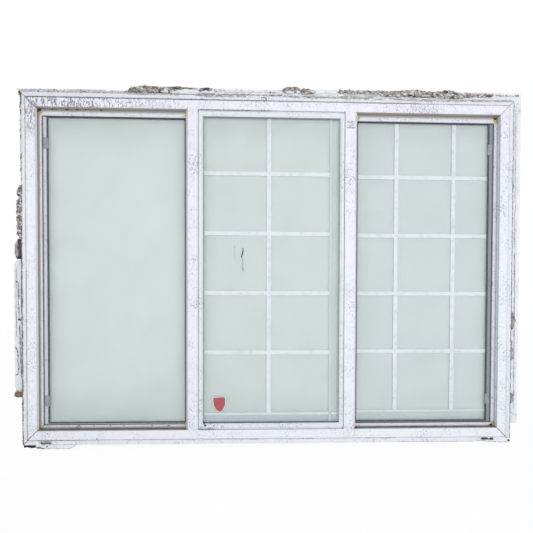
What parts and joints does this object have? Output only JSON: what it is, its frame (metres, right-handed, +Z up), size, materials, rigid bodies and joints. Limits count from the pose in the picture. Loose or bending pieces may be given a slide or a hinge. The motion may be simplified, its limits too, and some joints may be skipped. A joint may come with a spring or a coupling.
{
  "type": "vinyl sliding window",
  "caption": "Sliding window in a hollow white vinyl frame, with side sashes, a fixed middle lite, flat grilles between panes, and remains of its nailing fin and stucco.",
  "frame": {"origin": "rear face of the head's nailing fin, at mid-width, on the line of its nail slots", "axes": "+X to the right seen from outdoors, +Y from outdoors to the room, +Z up"},
  "size_m": [2.209, 0.087, 1.5672],
  "materials": {
    "vinyl": "white extruded vinyl, chalked, with dirt and speckles",
    "fin": "white vinyl fin, torn and smeared with stucco",
    "glass": "clear float glass, slightly green",
    "spacer": "mill spacer bar with sealant",
    "grille": "white enamelled flat bar",
    "gasket": "dark glazing gasket",
    "roller": "nylon",
    "bumper": "grey moulded block",
    "hardware": "white moulded latch",
    "felt": "torn black building felt",
    "wood": "splintered weathered wood",
    "flashing": "curled scrap of thin flashing",
    "stucco": "broken sand-and-cement stucco"
  },
  "bodies": {
    "root": {"centre_bottom_bead": "vinyl", "centre_bottom_channel": "vinyl", "centre_gasket": "gasket", "centre_grille": "grille", "centre_inner_glass": "glass", "centre_left_bead": "vinyl", "centre_outer_glass": "glass", "centre_right_bead": "vinyl", "centre_spacer": "spacer", "centre_top_bead": "vinyl", "centre_top_channel": "vinyl", "corner_gusset": "fin", "felt_scrap": "felt", "flashing_curl": "flashing", "head_fin": "fin", "head_frame": "vinyl", "left_fin": "fin", "left_jamb": "vinyl", "left_mullion": "vinyl", "left_sash_beads": "vinyl", "left_sash_bottom_rail": "vinyl", "left_sash_bumpers": "bumper", "left_sash_gasket": "gasket", "left_sash_inner_glass": "glass", "left_sash_jamb_stile": "vinyl", "left_sash_latch": "hardware", "left_sash_meeting_stile": "vinyl", "left_sash_outer_glass": "glass", "left_sash_rollers": "roller", "left_sash_seal": "gasket", "left_sash_spacer": "spacer", "left_sash_top_rail": "vinyl", "left_stucco": "stucco", "right_fin": "fin", "right_jamb": "vinyl", "right_mullion": "vinyl", "right_sash_beads": "vinyl", "right_sash_bottom_rail": "vinyl", "right_sash_bumpers": "bumper", "right_sash_gasket": "gasket", "right_sash_grille": "grille", "right_sash_inner_glass": "glass", "right_sash_jamb_stile": "vinyl", "right_sash_latch": "hardware", "right_sash_meeting_stile": "vinyl", "right_sash_outer_glass": "glass", "right_sash_rollers": "roller", "right_sash_seal": "gasket", "right_sash_spacer": "spacer", "right_sash_top_rail": "vinyl", "right_stucco": "stucco", "sill_frame": "vinyl", "sill_strip": "fin", "top_stucco": "stucco", "weep_hood": "vinyl", "wood_splinter": "wood"}
  },
  "joints": []
}
